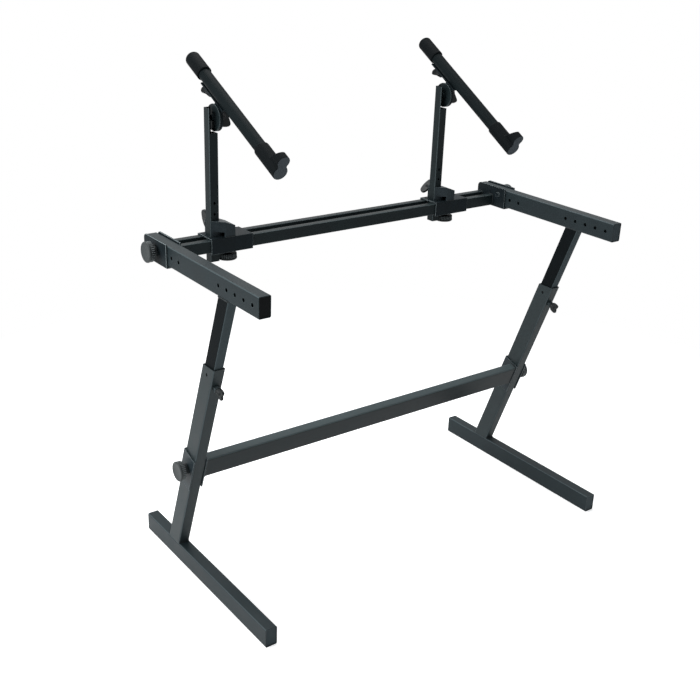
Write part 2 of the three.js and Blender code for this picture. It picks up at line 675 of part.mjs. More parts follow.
function rubberProfile(length, edge) {
  const [outside, inside] = [armTubeRadius + weldGap + rubberWall, armTubeRadius + weldGap];
  const floor = rubberEnd - weldGap;
  return [
    [0, 0], [outside - edge, 0], [outside - edge * 0.3, edge * 0.3], [outside, edge], [outside, length - 1],
    [outside - 1, length], [inside, length], [inside, floor], [0, floor],
  ].map(([x, y]) => new THREE.Vector2(x, y));
}

function rearCap(side, parent) {
  const cap = new THREE.LatheGeometry(rubberProfile(capLength, 3), 20);
  cap.rotateX(Math.PI).translate(0, armTubeLength / 2 + rubberEnd, 0);
  piece(parent, `${side}_rear_cap`, rubber, cap);
}

// Rubber end sleeve whose upstanding lip stops a keyboard from sliding off.
function frontSleeve(side, parent) {
  const tip = -armTubeLength / 2 - rubberEnd;
  const round = armTubeRadius + weldGap + rubberWall;
  const sleeve = new THREE.LatheGeometry(rubberProfile(sleeveLength, 1.5), 20).translate(0, tip, 0);
  const crown = lipHeight - lipWidth / 2;
  const tongue = new THREE.Shape();
  const neckAngle = Math.acos(lipNeck / lipWidth);
  tongue.moveTo(-lipNeck / 2, 0);
  tongue.lineTo(lipNeck / 2, 0);
  tongue.absarc(0, crown, lipWidth / 2, -neckAngle, Math.PI + neckAngle, false);
  const blade = prism(tongue, -lipRoot, 0, 12).rotateX(Math.PI / 2).translate(0, tip, 0);
  const sideView = outlineOf([
    [tip, -1], [tip + lipRoot, -1], [tip + lipRoot, round - 2], [tip + lipThickness, lipHeight + 1],
    [tip, lipHeight + 1],
  ]);
  const wedge = sidePrism(sideView, -lipWidth, lipWidth);
  const bore = bar([0, tip + rubberEnd - weldGap, 0], [0, tip + sleeveLength + 1, 0], armTubeRadius + weldGap, 20);
  piece(parent, `${side}_front_sleeve`, rubber, cut(unite(sleeve, common(blade, wedge)), bore));
}

function slideScrew(side, parent) {
  const seat = -(axisAbovePivot - plateBottom) - runningGap;
  const screw = wingScrew(slideWing, slideScrewRadius, -seat - armTubeRadius + tubeWall + 2);
  aim(piece(parent, `${side}_slide_screw`, mouldedPlastic, screw),
    [0, armScrewBack, seat], [0, 0, -1], slideWingTurn);
}

// ---------------------------------------------------------------- assembly
const leg = legFrame();
for (const [side, sign] of [['left', -1], ['right', 1]]) {
  foot(side, sign);
  outerLeg(side, sign, leg);
  guideBush(side, sign, leg);
  innerLeg(side, sign);
  arm(side, sign);
  heightLock(side, sign, leg);
  crossbarBracket(side, sign, leg);
  railClamp(side, sign);
}
crossbar(leg);
rail('front_rail', railFrontFace);
rail('rear_rail', railFrontFace + railWidth + railSlot);

for (const { side, saddle: place, lift, tilt, slide, uprightTurn, tiltTurn } of tiers) {
  const onRails = new THREE.Group();
  onRails.position.x = place;
  stand.add(onRails);
  saddle(side, onRails);
  saddleClamp(side, onRails);
  uprightCollar(side, onRails, uprightTurn);

  const onUpright = new THREE.Group();
  onUpright.position.set(uprightOffset, slotMiddle, uprightBottom + lift);
  onRails.add(onUpright);
  const pivotHeight = uprightLength - pivotBelowTop;
  upright(side, onUpright);
  tiltDisc(side, onUpright, pivotHeight, wingNutBase + wingNutBore - 1);
  tiltNut(side, onUpright, pivotHeight, tiltTurn);

  const onPivot = new THREE.Group();
  onPivot.position.z = pivotHeight;
  onPivot.rotation.x = tilt;
  onUpright.add(onPivot);
  carrier(side, onPivot);

  const onCarrier = new THREE.Group();
  onCarrier.position.set(tierAxisX, slide, axisAbovePivot);
  onPivot.add(onCarrier);
  tierTube(side, onCarrier);
  rearCap(side, onCarrier);
  frontSleeve(side, onCarrier);
  slideScrew(side, onCarrier);
}

// The origin goes to the middle of the stand's overall box, on the floor.
const box = new THREE.Box3().setFromObject(stand, true);
stand.position.y = -(box.min.y + box.max.y) / 2;

const keyboardStand = new THREE.Group();
keyboardStand.add(stand);
export default keyboardStand;
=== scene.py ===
"""A tiered Z keyboard stand in powder-coated steel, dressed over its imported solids."""

from __future__ import annotations

import json
import logging
import math
from dataclasses import dataclass, field, replace
from enum import Enum
from typing import Callable, Iterable, Sequence

import bmesh
import bpy
from mathutils import Matrix, Vector

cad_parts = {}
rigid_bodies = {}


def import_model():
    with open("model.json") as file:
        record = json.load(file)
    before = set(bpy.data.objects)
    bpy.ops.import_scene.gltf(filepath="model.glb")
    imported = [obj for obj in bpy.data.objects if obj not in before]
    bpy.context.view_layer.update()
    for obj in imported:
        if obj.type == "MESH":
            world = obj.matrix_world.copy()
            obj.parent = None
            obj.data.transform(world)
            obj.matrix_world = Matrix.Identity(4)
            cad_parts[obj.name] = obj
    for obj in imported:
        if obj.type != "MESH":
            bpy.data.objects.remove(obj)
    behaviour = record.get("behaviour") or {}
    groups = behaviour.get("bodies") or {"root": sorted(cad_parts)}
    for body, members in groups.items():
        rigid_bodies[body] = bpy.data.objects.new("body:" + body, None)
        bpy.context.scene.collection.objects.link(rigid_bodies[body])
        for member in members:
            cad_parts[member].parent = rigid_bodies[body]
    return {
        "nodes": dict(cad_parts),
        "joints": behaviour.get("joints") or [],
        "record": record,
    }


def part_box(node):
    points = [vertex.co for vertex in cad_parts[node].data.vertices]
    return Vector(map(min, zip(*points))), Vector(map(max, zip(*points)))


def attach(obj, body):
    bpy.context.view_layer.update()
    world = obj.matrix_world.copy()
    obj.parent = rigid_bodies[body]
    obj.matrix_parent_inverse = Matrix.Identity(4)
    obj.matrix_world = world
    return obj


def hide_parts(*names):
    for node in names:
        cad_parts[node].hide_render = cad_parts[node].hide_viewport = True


MM = 0.001
LOG = logging.getLogger("keyboard_stand")
Object = bpy.types.Object
Solid = bmesh.types.BMesh
Socket = bpy.types.NodeSocket
Tree = bpy.types.NodeTree
EdgeTest = Callable[[bmesh.types.BMEdge], bool]
Point = tuple[float, float]

# The stand's own directions.
RIGHTWARD = Vector((1, 0, 0))
REARWARD = Vector((0, 1, 0))
UPWARD = Vector((0, 0, 1))

# Packed vertices are merged within this distance, and facets within this turn.
SAME_POINT = 2e-6
FLAT_DEGREES = 0.6
# Edges that turn more than this are cut edges or bends, and stay sharp in the shading.
STEEP_DEGREES = 50
# The middle facets of a tube's round corners are long and narrow, look 30 to 60 degrees
# away from the tube's crosswise direction, and don't look down. They take the painted highlight
# along the corners.
CORNER_LENGTH = 40 * MM
CORNER_WIDTH = 1.2 * MM
CORNER_TURN = (0.5, 0.87)
UNDERSIDE = -0.3
# Cosine of the angle within which a face looks one way, for the faces that take painted light.
FACING = 0.9
# Depth of the slice in which a leg's end is measured.
END_SLICE = 0.5 * MM


class Side(Enum):
    """The player's left or right."""

    LEFT = "left"
    RIGHT = "right"

    @property
    def sign(self) -> int:
        """-1 on the left and 1 on the right."""
        return -1 if self is Side.LEFT else 1


class Slot(Enum):
    """Material slots of the record."""

    STEEL = "powder_coat"
    PLASTIC = "moulded_plastic"
    RUBBER = "rubber"


# --- colour and shader nodes


def linear(digits: str) -> tuple[float, float, float, float]:
    """Turns the six hexadecimal digits of an sRGB colour into linear RGBA."""
    parts = [int(digits[i : i + 2], 16) / 255 for i in (0, 2, 4)]
    red, green, blue = (c / 12.92 if c <= 0.04045 else ((c + 0.055) / 1.055) ** 2.4 for c in parts)
    return red, green, blue, 1.0


def blank_tree(owner: bpy.types.Material | bpy.types.World) -> Tree:
    """Returns the owner's node tree, emptied."""
    owner.use_nodes = True
    owner.node_tree.nodes.clear()
    return owner.node_tree


def add_node(
    tree: Tree, kind: str, links: dict | None = None, **settings: object
) -> bpy.types.Node:
    """Adds a node whose inputs, by name or number, get a socket or a value."""
    node = tree.nodes.new(kind)
    for name, value in settings.items():
        setattr(node, name, value)
    for key, value in (links or {}).items():
        if isinstance(value, Socket):
            tree.links.new(value, node.inputs[key])
        else:
            node.inputs[key].default_value = value
    return node


def calculated(tree: Tree, operation: str, first: object, second: object) -> Socket:
    """Adds a math node and returns its result."""
    return add_node(tree, "ShaderNodeMath", {0: first, 1: second}, operation=operation).outputs[0]


def noise(tree: Tree, place: Socket, size_mm: float, detail: float, roughness: float) -> Socket:
    """Adds a noise with features of about a size, and returns its value."""
    links = {"Vector": place, "Scale": 1 / (size_mm * MM), "Detail": detail, "Roughness": roughness}
    return add_node(tree, "ShaderNodeTexNoise", links).outputs["Fac"]


def mapped(tree: Tree, value: Socket, span: Point, onto: Point = (0.0, 1.0)) -> Socket:
    """Maps one span of values onto another, clamped, and returns the result."""
    ends = zip(("From Min", "From Max", "To Min", "To Max"), (*span, *onto))
    return add_node(tree, "ShaderNodeMapRange", {"Value": value, **dict(ends)}).outputs[0]


def mixed_shader(
    tree: Tree, share: Socket, first: bpy.types.Node, second: bpy.types.Node
) -> bpy.types.Node:
    """Mixes two shaders: all of the first at a share of 0, all of the second at 1."""
    links = {0: share, 1: first.outputs[0], 2: second.outputs[0]}
    return add_node(tree, "ShaderNodeMixShader", links)


@dataclass(frozen=True)
class Finish:
    """A real surface, drawn by a principled shader with procedural detail.

    The detail is a colour mottle, a roughness drift and a fine relief, all on object
    coordinates. Sizes are in millimetres on the object.
    """

    title: str
    colour: str
    shade: str
    mottle_mm: float
    grain_mm: float
    relief_mm: float
    roughness: tuple[float, float]
    specular: float
    # Colour that eased edges and marked faces take: a painted highlight.
    edge: str
    slot: Slot = Slot.STEEL

    def with_painted_highlight(self) -> "Finish":
        """Returns the same finish in its edge colour, a painted highlight for eased edges and
        marked faces.
        """
        return replace(self, title=self.title + "_edge", colour=self.edge, shade=self.edge)

    def build(self) -> bpy.types.Material:
        """Builds the material, which is named for the finish."""
        material = bpy.data.materials.new(self.title)
        tree = blank_tree(material)
        place = add_node(tree, "ShaderNodeTexCoord").outputs["Object"]
        mottle = noise(tree, place, self.mottle_mm, 4.0, 0.62)
        grain = noise(tree, place, self.grain_mm, 3.0, 0.55)
        share = mapped(tree, mottle, (0.32, 0.68))
        body = add_node(
            tree,
            "ShaderNodeMix",
            {"Factor": share, 6: linear(self.shade), 7: linear(self.colour)},
            data_type="RGBA",
        )
        relief = add_node(
            tree,
            "ShaderNodeBump",
            {"Strength": 1.0, "Distance": self.relief_mm * MM, "Height": grain},
        )
        shader = add_node(
            tree,
            "ShaderNodeBsdfPrincipled",
            {
                "Base Color": body.outputs[2],
                "Roughness": mapped(tree, mottle, (0.3, 0.7), self.roughness),
                "Normal": relief.outputs[0],
                "Specular IOR Level": self.specular,
            },
        )
        add_node(tree, "ShaderNodeOutputMaterial", {"Surface": shader.outputs[0]})
        return material


# Polyester powder coat, sprayed and oven-cured on steel tube: satin black with a faint
# orange peel. The real peel is about 1 mm across, and is drawn at 3 mm so that it shows.
POWDER_COAT = Finish(
    "satin_black_powder_coat", "293234", "242b2d", 55, 3.0, 0.03, (0.40, 0.50), 0.12, "3e474a"
)
# The same coat on the feet and the arms, a shade darker.
LEVEL_COAT = Finish(
    "powder_coat_on_level_tubes", "232c2f", "1e2629", 55, 3.0, 0.03, (0.40, 0.50), 0.10, "3e484b"
)
# And on the rails, the posts and the crossbar, darker still.
RAIL_COAT = Finish(
    "powder_coat_on_rails", "1b2426", "171e20", 55, 3.0, 0.03, (0.36, 0.46), 0.09, "4a5456"
)
# The upper tubes are the darkest, with hardly any sheen: the near-black is painted shade on the
# same coat.
ROUND_COAT = Finish(
    "powder_coat_on_round_tubes", "12191b", "0f1517", 55, 3.0, 0.006, (0.42, 0.52), 0.03, "2c3233"
)
# The same coat on the inner legs, in near-black as painted shade on their sides, and paler in
# front, where the second colour is painted light.
SHADED_INNER_LEG_COAT = Finish(
    "inner_leg_coat_painted_shade", "0d1214", "0a0e10", 40, 3.0, 0.02, (0.50, 0.60), 0.03, "40494c"
)
# The same coat on the brackets and collars, whose sheared edges take a bright painted highlight.
SHEET_COAT = Finish(
    "powder_coat_on_sheet", "2a3337", "242c30", 40, 3.0, 0.03, (0.38, 0.48), 0.12, "747e80"
)
# And on the clamps, saddles, plates and carriers, painted darker: on the clamps this is painted
# shade from the knobs.
CHANNEL_COAT = Finish(
    "powder_coat_on_channels", "1b2327", "161c1f", 40, 3.0, 0.03, (0.45, 0.55), 0.06, "7c8688"
)
# The same coat over weld beads, where it pools in the ripples.
WELD_COAT = Finish(
    "powder_coat_over_weld", "262c2e", "1d2224", 9, 1.6, 0.05, (0.38, 0.52), 0.14, "566061"
)
# Glass-filled nylon, injection moulded with a spark-eroded skin: an even, dry sheen.
NYLON = Finish(
    "moulded_black_nylon",
    "363b3c", "2e3233", 30, 1.8, 0.05, (0.48, 0.60), 0.20, "6b7071",
    Slot.PLASTIC,
)
# The same nylon, smoother and blacker, on the wings and the knobs under the saddles.
DARK_NYLON = Finish(
    "moulded_dark_nylon",
    "1d2122", "171a1b", 30, 1.8, 0.03, (0.36, 0.48), 0.14, "4c5253",
    Slot.PLASTIC,
)
# Polyethylene tube plugs: softer and blacker than the nylon, with a waxy surface.
POLYETHYLENE = Finish(
    "moulded_polyethylene_plug",
    "0f1213", "0b0d0e", 22, 1.6, 0.01, (0.45, 0.58), 0.06, "25292a",
    Slot.PLASTIC,
)
# The same plug painted grey, as painted light on its faces: those of the feet and the one in front
# of the right arm.
PAINTED_LIT_PLUG = Finish(
    "polyethylene_plug_painted_lit",
    "343f43", "2e383c", 22, 1.6, 0.01, (0.45, 0.58), 0.10, "4a5558",
    Slot.PLASTIC,
)
# Dip-moulded nitrile rubber: matt, nearly black, with a little dust in its mottle.
NITRILE = Finish(
    "matt_nitrile_rubber",
    "0e1214", "0b0f11", 18, 1.4, 0.008, (0.50, 0.62), 0.03, "464c50",
    Slot.RUBBER,
)


class Palette:
    """Builds each finish once and hands out its material."""

    def __init__(self) -> None:
        """Starts with nothing mixed."""
        self._made: dict[str, bpy.types.Material] = {}

    def of(self, finish: Finish) -> bpy.types.Material:
        """Returns the finish's material, built on first use."""
        if finish.title not in self._made:
            self._made[finish.title] = finish.build()
        return self._made[finish.title]


# --- meshes


def span(values: Iterable[float]) -> Point:
    """Returns the least and the greatest of the values."""
    known = list(values)
    return min(known), max(known)


def new_object(name: str, data: bpy.types.ID) -> Object:
    """Links a mesh, camera or lamp into the scene as an object at the origin."""
    piece = bpy.data.objects.new(name, data)
    bpy.context.scene.collection.objects.link(piece)
    return piece


def mesh_from(name: str, work: Solid) -> Object:
    """Writes a bmesh to a new object and frees it."""
    mesh = bpy.data.meshes.new(name)
    work.to_mesh(mesh)
    work.free()
    return new_object(name, mesh)


def taken(piece: Object) -> Solid:
    """Turns an object back into a bmesh and removes it."""
    work = bmesh.new()
    work.from_mesh(piece.data)
    bpy.data.objects.remove(piece)
    return work


def evaluated_copy(source: Object, name: str) -> Object:
    """Turns an object with modifiers into a plain mesh object and removes the original."""
    bpy.context.view_layer.update()
    graph = bpy.context.evaluated_depsgraph_get()
    mesh = bpy.data.meshes.new_from_object(source.evaluated_get(graph))
    bpy.data.objects.remove(source)
    mesh.name = name
    return new_object(name, mesh)


def shade(piece: Object, sharp_degrees: float) -> Object:
    """Smooths the faces, keeps the edges sharp that turn more, and returns the object."""
    work = bmesh.new()
    work.from_mesh(piece.data)
    limit = math.radians(sharp_degrees)
    for face in work.faces:
        face.smooth = True
    for edge in work.edges:
        edge.smooth = len(edge.link_faces) != 2 or edge.calc_face_angle(0.0) < limit
    work.to_mesh(piece.data)
    work.free()
    return piece


def revolve(profile: Sequence[Point], steps: int = 48) -> Solid:
    """Turns (radius, height) pairs in mm, from axis to axis, about Z into a solid."""
    work = bmesh.new()
    line = [work.verts.new((r * MM, 0, z * MM)) for r, z in profile]
    edges = [work.edges.new(pair) for pair in zip(line, line[1:])]
    bmesh.ops.spin(
        work,
        geom=line + edges,
        cent=(0, 0, 0),
        axis=(0, 0, 1),
        angle=math.tau,
        steps=steps,
        use_merge=True,
    )
    bmesh.ops.remove_doubles(work, verts=work.verts, dist=1e-7)
    bmesh.ops.recalc_face_normals(work, faces=work.faces)
    return work


def extrude_outline(outline: Sequence[Point], low: float, high: float) -> Solid:
    """Raises an outline in X and Y between two heights, all in millimetres."""
    work = bmesh.new()
    base = [work.verts.new((x * MM, y * MM, low * MM)) for x, y in outline]
    face = work.faces.new(base)
    grown = bmesh.ops.extrude_face_region(work, geom=[face])
    lifted = [g for g in grown["geom"] if isinstance(g, bmesh.types.BMVert)]
    bmesh.ops.translate(work, verts=lifted, vec=(0, 0, (high - low) * MM))
    bmesh.ops.recalc_face_normals(work, faces=work.faces)
    return work


def arc(centre: Point, radius: float, start: float, end: float, steps: int) -> list[Point]:
    """Returns points on an arc from one angle in degrees to another, both included."""
    turns = [math.radians(start + (end - start) * i / steps) for i in range(steps + 1)]
    return [(centre[0] + radius * math.cos(t), centre[1] + radius * math.sin(t)) for t in turns]


def clipped(first: Point, second: Point, cut: float) -> list[Point]:
    """Returns a rectangle whose corners are cut off, as a loop of eight points.

    The first span runs upwards, and the loop starts on the end that the second names first.
    """
    (a, b), (c, d) = first, second
    step = math.copysign(cut, d - c)
    start = [(a + cut, c), (b - cut, c), (b, c + step), (b, d - step)]
    return start + [(b - cut, d), (a + cut, d), (a, d - step), (a, c + step)]


def merge(parts: Iterable[Solid]) -> Solid:
    """Puts several solids, which are freed, into one bmesh."""
    whole = bmesh.new()
    for part in parts:
        scratch = bpy.data.meshes.new("scratch")
        part.to_mesh(scratch)
        part.free()
        whole.from_mesh(scratch)
        bpy.data.meshes.remove(scratch)
    return whole


def mould(name: str, work: Solid, voxel_mm: float, passes: int) -> Object:
    """Fuses overlapping solids into one skin of voxels, blended by smoothing passes."""
    rough = mesh_from(name + "_rough", work)
    skin = rough.modifiers.new("skin", "REMESH")
    skin.mode = "VOXEL"
    skin.voxel_size = voxel_mm * MM
    soft = rough.modifiers.new("soft", "SMOOTH")
    soft.factor = 0.5
    soft.iterations = passes
    return evaluated_copy(rough, name)


def sheet_copy(
    node: Object,
    name: str,
    edge_mm: float,
    bend_mm: float = 0.0,
    is_bend: EdgeTest | None = None,
    across: Vector | None = None,
) -> Object:
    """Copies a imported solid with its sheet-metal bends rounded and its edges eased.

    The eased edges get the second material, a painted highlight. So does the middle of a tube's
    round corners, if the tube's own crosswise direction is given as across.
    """
    work = bmesh.new()
    work.from_mesh(node.data)
    bmesh.ops.remove_doubles(work, verts=work.verts, dist=SAME_POINT)
    bmesh.ops.dissolve_limit(
        work, angle_limit=math.radians(FLAT_DEGREES), verts=work.verts, edges=work.edges
    )
    steep = math.radians(STEEP_DEGREES)

    def cut_edges() -> list[bmesh.types.BMEdge]:
        """Returns the edges that turn steeply."""
        return [e for e in work.edges if len(e.link_faces) == 2 and e.calc_face_angle(0.0) > steep]

    bends = [e for e in cut_edges() if is_bend is not None and is_bend(e)]
    for edges, width, slot in ((lambda: bends, bend_mm, -1), (cut_edges, edge_mm, 1)):
        chosen = edges() if width else []
        if chosen:
            bmesh.ops.bevel(
                work,
                geom=chosen,
                offset=width * MM,
                segments=3 if slot < 0 else 2,
                profile=0.5,
                affect="EDGES",
                clamp_overlap=True,
                material=slot,
            )
    # The middle facets of the round corners take the painted highlight.
    for face in work.faces if across is not None else ():
        length = max(edge.calc_length() for edge in face.edges)
        narrow = length > CORNER_LENGTH and face.calc_area() < CORNER_WIDTH * length
        turned = CORNER_TURN[0] < abs(face.normal.dot(across)) < CORNER_TURN[1]
        if narrow and turned and face.normal.z > UNDERSIDE:
            face.material_index = 1
    copy = mesh_from(name, work)
    shade(copy, STEEP_DEGREES)
    flat = copy.modifiers.new("flat faces", "WEIGHTED_NORMAL")
    flat.keep_sharp = True
    return copy


# --- geometry node trees


class NodeTreeMaker:
    """Builds the geometry node trees that repeat a small form, and runs them."""

    def __init__(self) -> None:
        """Builds the trees."""
        self.bead = self._weld_bead()
        self.ring = self._ring_of_ribs()

    @staticmethod
    def _start(name: str, **inputs: str) -> tuple:
        """Opens a tree with typed inputs, and returns it with its group input node."""
        tree = bpy.data.node_groups.new(name, "GeometryNodeTree")
        tree.interface.new_socket("Geometry", in_out="INPUT", socket_type="NodeSocketGeometry")
        for title, kind in inputs.items():
            tree.interface.new_socket(title, in_out="INPUT", socket_type="NodeSocket" + kind)
        tree.interface.new_socket("Geometry", in_out="OUTPUT", socket_type="NodeSocketGeometry")
        return tree, tree.nodes.new("NodeGroupInput")

    @staticmethod
    def _finish(tree: Tree, made: Socket) -> Tree:
        """Closes a tree with its instances realised and smooth, and returns it."""
        real = add_node(tree, "GeometryNodeRealizeInstances", {"Geometry": made})
        smooth = add_node(tree, "GeometryNodeSetShadeSmooth", {"Geometry": real.outputs[0]})
        add_node(tree, "NodeGroupOutput", {0: smooth.outputs[0]})
        return tree

    def _weld_bead(self) -> Tree:
        """Overlapping ripples laid along a line, as a hand weld leaves them."""
        tree, given = self._start("weld_bead", Pitch="Float", Width="Float")
        line = add_node(tree, "GeometryNodeMeshToCurve", {"Mesh": given.outputs["Geometry"]})
        steps = add_node(
            tree,
            "GeometryNodeCurveToPoints",
            {"Curve": line.outputs[0], "Length": given.outputs["Pitch"]},
            mode="LENGTH",
        )
        drop = add_node(tree, "GeometryNodeMeshIcoSphere", {"Radius": 1.0, "Subdivisions": 2})
        jitter = add_node(
            tree, "FunctionNodeRandomValue", {2: 0.86, 3: 1.12, "Seed": 7}, data_type="FLOAT"
        )
        width = calculated(tree, "MULTIPLY", given.outputs["Width"], jitter.outputs[1])
        drops = add_node(
            tree,
            "GeometryNodeInstanceOnPoints",
            {
                "Points": steps.outputs["Points"],
                "Instance": drop.outputs["Mesh"],
                "Rotation": steps.outputs["Rotation"],
                "Scale": width,
            },
        )
        return self._finish(tree, drops.outputs[0])

    def _ring_of_ribs(self) -> Tree:
        """One small form, pointing along +X, set round a circle: ribs or teeth."""
        tree, given = self._start("ring_of_ribs", Count="Int", Radius="Float")
        count = given.outputs["Count"]
        circle = add_node(
            tree, "GeometryNodeMeshCircle", {"Vertices": count, "Radius": given.outputs["Radius"]}
        )
        index = add_node(tree, "GeometryNodeInputIndex").outputs[0]
        turn = calculated(tree, "MULTIPLY", calculated(tree, "DIVIDE", index, count), math.tau)
        about = add_node(tree, "ShaderNodeCombineXYZ", {"Z": turn})
        spun = add_node(tree, "FunctionNodeEulerToRotation", {0: about.outputs[0]})
        ribs = add_node(
            tree,
            "GeometryNodeInstanceOnPoints",
            {
                "Points": circle.outputs["Mesh"],
                "Instance": given.outputs["Geometry"],
                "Rotation": spun.outputs[0],
            },
        )
        return self._finish(tree, ribs.outputs[0])

    @staticmethod
    def run(tree: Tree, seed: Solid, name: str, **inputs: float) -> Object:
        """Runs a tree on a mesh and returns the plain result."""
        carrier = mesh_from(name + "_seed", seed)
        modifier = carrier.modifiers.new(tree.name, "NODES")
        modifier.node_group = tree
        sockets = {
            s.name: s.identifier
            for s in tree.interface.items_tree
            if s.item_type == "SOCKET" and s.in_out == "INPUT"
        }
        for title, value in inputs.items():
            modifier[sockets[title]] = value
        made = evaluated_copy(carrier, name)
        # Realised instances bring an empty slot, which would leave the first faces bare.
        made.data.materials.clear()
        return made

    def ringed(self, seed: Solid, name: str, count: int, radius_mm: float) -> Solid:
        """Sets a small form round a circle, in the second material, as it catches light."""
        ring = taken(self.run(self.ring, seed, name, Count=count, Radius=radius_mm * MM))
        for face in ring.faces:
            face.material_index = 1
        return ring


# --- the stand's frame of reference


@dataclass
class Frame:
    """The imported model: its nodes, and where its joints turn."""

    nodes: dict[str, Object]
    joints: dict[str, dict]
    body_of: dict[str, str]

    @classmethod
    def load(cls) -> "Frame":
        """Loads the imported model."""
        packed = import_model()
        bodies = packed["record"]["behaviour"]["bodies"]
        return cls(
            nodes=packed["nodes"],
            joints={j["name"]: j for j in packed["joints"]},
            body_of={n: body for body, names in bodies.items() for n in names},
        )

    def points(self, node: str) -> list[Vector]:
        """Returns the node's vertices in the row frame."""
        return [v.co.copy() for v in self.nodes[node].data.vertices]

    def screw_axes(self, node: str, outward: Vector) -> tuple[Matrix, float, float]:
        """Finds the axes of a knob or screw from its joint, and where it ends on them.

        +Z is the screw's axis, on the side that outward roughly points to, and +X the way
        its widest part points. The two numbers are the heights of its grip and its tip.
        """
        joint = self.joints[node + "_spin"]
        pivot = Vector(joint["pos_m"])
        axis = Vector(joint["axis"]).normalized()
        if axis.dot(outward) < 0:
            axis.negate()
        along = [(p - pivot).dot(axis) for p in self.points(node)]
        across = [p - pivot - axis * t for p, t in zip(self.points(node), along)]
        spoke = max(across, key=lambda v: v.length).normalized()
        turned = Matrix((spoke, axis.cross(spoke), axis)).transposed().to_4x4()
        return Matrix.Translation(pivot) @ turned, max(along), min(along)


@dataclass
class Workshop:
    """What each sub-assembly needs to make and place its pieces."""

    frame: Frame
    palette: Palette
    trees: NodeTreeMaker

    def keep(
        self, piece: Object, body: str, finish: Finish, stands_for: Sequence[str] = ()
    ) -> Object:
        """Gives a piece its finish and body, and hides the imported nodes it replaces."""
        piece.data.materials.append(self.palette.of(finish))
        # Faces marked with the second material get the finish's painted highlight.
        if any(face.material_index for face in piece.data.polygons):
            piece.data.materials.append(self.palette.of(finish.with_painted_highlight()))
        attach(piece, body)
        if stands_for:
            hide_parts(*stands_for)
        LOG.info("%s rides on %s, %d faces", piece.name, body, len(piece.data.polygons))
        return piece

    def stand_in(self, piece: Object, node: str, finish: Finish) -> Object:
        """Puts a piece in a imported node's place, on that node's body."""
        return self.keep(piece, self.frame.body_of[node], finish, [node])

    def dress(self, node: str, finish: Finish, edge_mm: float, **easing: object) -> Object:
        """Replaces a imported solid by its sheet_copy, and returns that."""
        copy = sheet_copy(self.frame.nodes[node], node + "_coated", edge_mm, **easing)
        return self.stand_in(copy, node, finish)

    @staticmethod
    def paint_lit_faces(piece: Object, towards: Vector) -> None:
        """Gives the faces that look one way the piece's second material: painted light on that
        side.
        """
        for facet in piece.data.polygons:
            if facet.normal.dot(towards) > FACING:
                facet.material_index = 1

    def weld(
        self, name: str, body: str, points: Sequence[Vector], width_mm: float, closed: bool = False
    ) -> None:
        """Lays a weld bead, of half a width in mm, along points in the row frame."""
        work = bmesh.new()
        verts = [work.verts.new(p) for p in points]
        for pair in zip(verts, verts[1:] + verts[:1] if closed else verts[1:]):
            work.edges.new(pair)
        sizes = {"Pitch": 0.75 * width_mm * MM, "Width": width_mm * MM}
        bead = self.trees.run(self.trees.bead, work, name, **sizes)
        self.keep(bead, body, WELD_COAT)


def runs_along(direction: Vector, where: Callable[[Vector], bool]) -> EdgeTest:
    """Makes a test for edges that run along a direction, with their middle in a place."""
    way = direction.normalized()

    def test(edge: bmesh.types.BMEdge) -> bool:
        """Tells whether the edge is one of them."""
        start, end = (v.co for v in edge.verts)
        run = end - start
        if run.length < 1e-7 or abs(run.normalized().dot(way)) < 0.995:
            return False
        return where((start + end) / 2)

    return test


# --- knobs and screws


@dataclass
class RibbedKnob:
    """Round screw knob: a plain face, and a ribbed grip and hub behind it."""

    face_radius: float = 20.4
    face_depth: float = 4.6
    grip_radius: float = 18.7
    grip_depth: float = 13.0
    rib_radius: float = 1.15
    ribs: int = 32
    hub_radius: float = 9.8
    screw_radius: float = 4.0
    length: float = 21.4

    def build(self, shop: Workshop, node: str, axes: Matrix, top: float, tip: float) -> Object:
        """Builds the knob for a node, between heights in metres along its +Z."""
        high, low, seat = top / MM, tip / MM, (top - self.length * MM) / MM
        back = high - self.face_depth
        foot = high - self.grip_depth
        face, grip = self.face_radius, self.grip_radius
        hub, screw = self.hub_radius, self.screw_radius
        profile = [
            (0, high - 0.5), (face - 4.2, high - 0.4), (face - 2.6, high),
            (face - 1.2, high - 0.25), (face - 0.3, high - 1.1), (face, high - 2.2),
            (face, back + 1.0), (face - 0.5, back + 0.2), (grip + 0.6, back), (grip, back - 0.8),
            (grip - 0.6, foot + 1.0), (grip - 1.6, foot), (hub + 0.8, foot - 0.3),
            (hub, foot - 1.2), (hub, seat + 0.8), (hub - 0.8, seat), (screw, seat),
            (screw, low + 0.8), (screw - 0.8, low), (0, low),
        ]
        body = revolve(profile)
        rib = revolve(
            [
                (0, back + 0.6), (self.rib_radius, back + 0.6), (self.rib_radius, foot + 1.6),
                (self.rib_radius - 0.9, foot + 0.4), (0, foot + 0.2),
            ],
            12,
        )
        ribs = shop.trees.ringed(rib, node + "_ribs", self.ribs, grip)
        knob = mesh_from(node + "_ribbed", merge([body, ribs]))
        knob.data.transform(axes)
        return shade(knob, 40)


